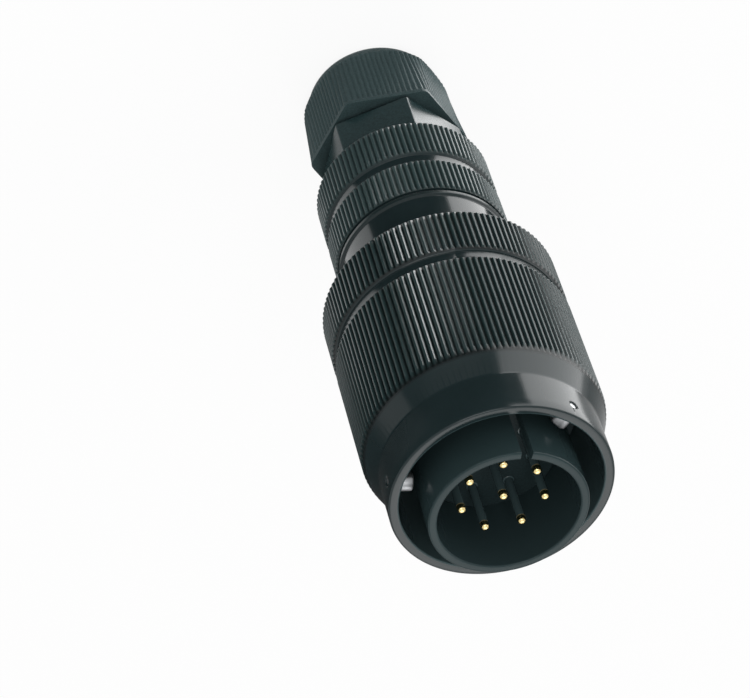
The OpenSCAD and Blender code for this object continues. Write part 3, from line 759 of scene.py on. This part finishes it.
# Gold, with painted shade on the shafts from 1.2 mm below the tips down, where they lie in the dark of the
# nose.
gold = metal("gold", (0.78, 0.62, 0.3), 0.18, 0.26, shade_below=tip_z - 1.2)
bright_steel = metal("bright_steel", (0.36, 0.37, 0.38), 0.32, 0.46, scratch=(1, 1, 0.2))
spring_steel = metal("spring_steel", (0.5, 0.51, 0.53), 0.25, 0.4)
slip_brass = metal("slip_brass", (0.7, 0.55, 0.3), 0.25, 0.4)
plain_aluminium = metal("plain_aluminium", (0.6, 0.61, 0.62), 0.3, 0.45, scratch=(0.1, 0.1, 3))
print("metals:", gold.name, bright_steel.name, spring_steel.name, slip_brass.name, plain_aluminium.name)

# %% [markdown]
# ### Who wears what
# Every piece belongs to a slot, a named place for a finish. Pieces made here carry their slot with them, and
# for those that come from the frame its record names it. One table from slots to finishes then dresses all.

# %% Give every piece its finish
FINISHES = {
    "anodised_ring": ring_black, "anodised_shell": shell_black, "anodised_backshell": back_black,
    "plain_aluminium": plain_aluminium, "bright_steel": bright_steel, "spring_steel": spring_steel,
    "gold_contact": gold, "slip_brass": slip_brass, "insert_plastic": insulator,
    "gland_nylon": hex_nylon, "nut_nylon": nut_nylon, "black_rubber": rubber}
slot_of_node = {row["node"]: row["material_slot"] for row in frame["record"]["subparts"]}

for piece in bpy.context.scene.objects:
    if piece.type == "MESH":
        slot = piece.get("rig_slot") or slot_of_node[piece.name]
        piece.data.materials.clear()
        piece.data.materials.append(FINISHES[slot])
print("finishes given:", len(FINISHES))

# %% [markdown]
# ## Floor and light
# The plug was photographed on white, so floor and sky are white for every ray that ends in the picture, also
# by way of a mirror. Light Path tells those rays apart, and the floor keeps its share of real shading, and so
# the plug's soft shadow. The camera looks down, so upright walls mirror the table and not the room.

# %% Rays and fans
def eye_rays(tree):
    """1 for rays that the camera sees directly, mirrored or through glass, and 0 for those that only light."""
    path = tree.nodes.new("ShaderNodeLightPath")
    first, both = tree.nodes.new("ShaderNodeMath"), tree.nodes.new("ShaderNodeMath")
    first.operation = both.operation = "MAXIMUM"
    tree.links.new(path.outputs["Is Camera Ray"], first.inputs[0])
    tree.links.new(path.outputs["Is Glossy Ray"], first.inputs[1])
    tree.links.new(path.outputs["Is Transmission Ray"], both.inputs[0])
    tree.links.new(first.outputs[0], both.inputs[1])
    return both.outputs[0]


def fan_mesh(name, first, last, near, far, z, steps=48):
    """Flat fan on the table: angle first..last in degrees, radius near..far in millimetres, facing up."""
    a = np.radians(np.linspace(first, last, steps))[:, None]
    r = np.array([near, far])[None, :]
    xyz = np.stack([r * np.cos(a), r * np.sin(a), np.full((steps, 2), z)], axis=-1).reshape(-1, 3)
    k = 2 * np.arange(steps - 1)
    mesh = bpy.data.meshes.new(name)
    mesh.from_pydata(xyz * MM, [], np.stack([k, k + 1, k + 3, k + 2], axis=-1))
    fan = bpy.data.objects.new(name, mesh)
    bpy.context.scene.collection.objects.link(fan)
    return fan


# %% Floor
paper_share = 0.9
floor = fan_mesh("floor", 0, 360, 0, 4000, 0.0, steps=97)
floor_white, floor_tree, floor_shader, _ = finish_of("floor_white", (0.95, 0.95, 0.95), Roughness=0.9)
floor_shader.inputs["Specular IOR Level"].default_value = 0.0
paper = add_node(floor_tree, "ShaderNodeEmission", Strength=1.0)
share = between(floor_tree, eye_rays(floor_tree), 0.0, paper_share, start=0.0, stop=1.0)
blend = add_node(floor_tree, "ShaderNodeMixShader", Fac=share)
floor_tree.links.new(floor_shader.outputs[0], blend.inputs[1])
floor_tree.links.new(paper.outputs[0], blend.inputs[2])
floor_tree.links.new(blend.outputs[0], floor_tree.nodes["Material Output"].inputs["Surface"])
floor.data.materials.append(floor_white)
print("floor:", len(floor.data.polygons), "faces")

# %% [markdown]
# ### Cards on the table
# What lies on the table is what upright walls mirror. The nearest cards show in the hexagon, the next in the
# neck and the knurl, and the farthest in the collar and the cone. Glowing cards to the right draw the bright
# patch on each of them, weaker ones to the left a second, and dark cards between them keep the rest dark, as
# black cards do in a studio. They are seen in mirrors only: they neither light the table nor shade it.

# %% Cards
card_z = 0.2


def card(name, first, last, near, far, strength):
    """A fan just above the table that glows with an even strength and is seen only in mirrors."""
    fan = fan_mesh(name, first, last, near, far, card_z)
    glow = bpy.data.materials.new(name)
    glow.use_nodes = True
    tree = glow.node_tree
    tree.nodes.clear()
    shine = add_node(tree, "ShaderNodeEmission", Strength=strength)
    out = tree.nodes.new("ShaderNodeOutputMaterial")
    tree.links.new(shine.outputs[0], out.inputs["Surface"])
    fan.data.materials.append(glow)
    fan.visible_camera = fan.visible_diffuse = fan.visible_shadow = False


# %% Where the cards lie
CARDS = {
    "neck_card": (195, 247, 18, 70, 5.2), "dark_neck_card": (247, 348, 42, 70, 0.05),
    "knurl_card": (204, 228, 70, 101, 3.0), "knurl_fade_card": (228, 260, 70, 101, 4.6),
    "dark_knurl_card": (260, 348, 70, 101, 0.05),
    "collar_card": (181, 245, 101, 170, 4.2), "dark_collar_card": (245, 405, 101, 170, 0.05),
    "cone_card": (188, 265, 170, 1300, 4.5), "dark_cone_card": (265, 348, 170, 1300, 0.1),
    "hex_card": (247, 348, 15, 42, 0.35), "left_hex_card": (348, 405, 15, 42, 0.6),
    "left_card": (348, 405, 42, 101, 2.0), "dark_left_card": (348, 405, 170, 400, 0.05),
    "dark_back_card": (45, 110, 42, 400, 0.05), "dark_side_card": (110, 195, 15, 70, 0.05),
    "dark_right_card": (110, 204, 70, 101, 0.05), "grey_side_card": (110, 181, 101, 400, 0.55)}
for name, row in CARDS.items():
    card(name, *row)
print("cards on the table:", len(CARDS))

# %% [markdown]
# ### Lamps and sky
# One soft box stands where the flat rims mirror it, behind the plug and above. A low one at the right lights
# the cone and the bevels, and one above the camera shines into the nose. The sky fills the rest. The thin
# bright lines on the knurl come from a strip lamp close in front of it. Only the flanks of the teeth that
# face it catch it, and it is seen in mirrors only, so it lights nothing else.

# %% Lamps
plug_head = Vector((0, 0, 0.1))


def area_lamp(name, at, away, size, glow):
    """A rectangular lamp at a point in metres, shining against the direction away. Its brightness to the eye
    is glow: the power is pi times area times glow."""
    lamp = bpy.data.lights.new(name, "AREA")
    lamp.shape = "RECTANGLE"
    lamp.size, lamp.size_y = size
    lamp.energy = math.pi * size[0] * size[1] * glow
    box = bpy.data.objects.new(name, lamp)
    box.matrix_world = Matrix.Translation(at) @ (-away).to_track_quat("-Z", "Y").to_matrix().to_4x4()
    box.visible_camera = False
    bpy.context.scene.collection.objects.link(box)
    print(name, "has", round(lamp.energy, 3), "W")
    return box


def soft_box(name, azimuth, height, distance, size, glow):
    """A lamp square on to the plug's head: azimuth and height in degrees, distance and size in metres."""
    a, h = math.radians(azimuth), math.radians(height)
    away = Vector((math.cos(a) * math.cos(h), math.sin(a) * math.cos(h), math.sin(h)))
    return area_lamp(name, plug_head + distance * away, away, size, glow)


soft_box("rim_box", 113.5, 46.7, 0.8, (0.32, 0.32), 2.3)
soft_box("right_box", 205, 9, 0.8, (0.7, 0.5), 1.6)
soft_box("front_box", 293.5, 62, 0.8, (0.4, 0.4), 4.0)
strip_at, strip_away = Vector((3.1, -28.5, 52)) * MM, Vector((-1, 0.08, 0))
flank_strip = area_lamp("flank_strip", strip_at, strip_away, (0.009, 0.06), 12.0)
flank_strip.visible_diffuse = False

# %% Sky
sky_light, sky_seen = 0.6, 1.0
world = bpy.data.worlds.new("sky")
bpy.context.scene.world = world
world.use_nodes = True
sky = world.node_tree
sky.nodes.clear()
level = between(sky, eye_rays(sky), sky_light, sky_seen, start=0.0, stop=1.0)
air = add_node(sky, "ShaderNodeBackground", Color=(1, 1, 1, 1), Strength=level)
sky_out = sky.nodes.new("ShaderNodeOutputWorld")
sky.links.new(air.outputs[0], sky_out.inputs["Surface"])
print("sky:", sky_light, "as light and", sky_seen, "to the eye")
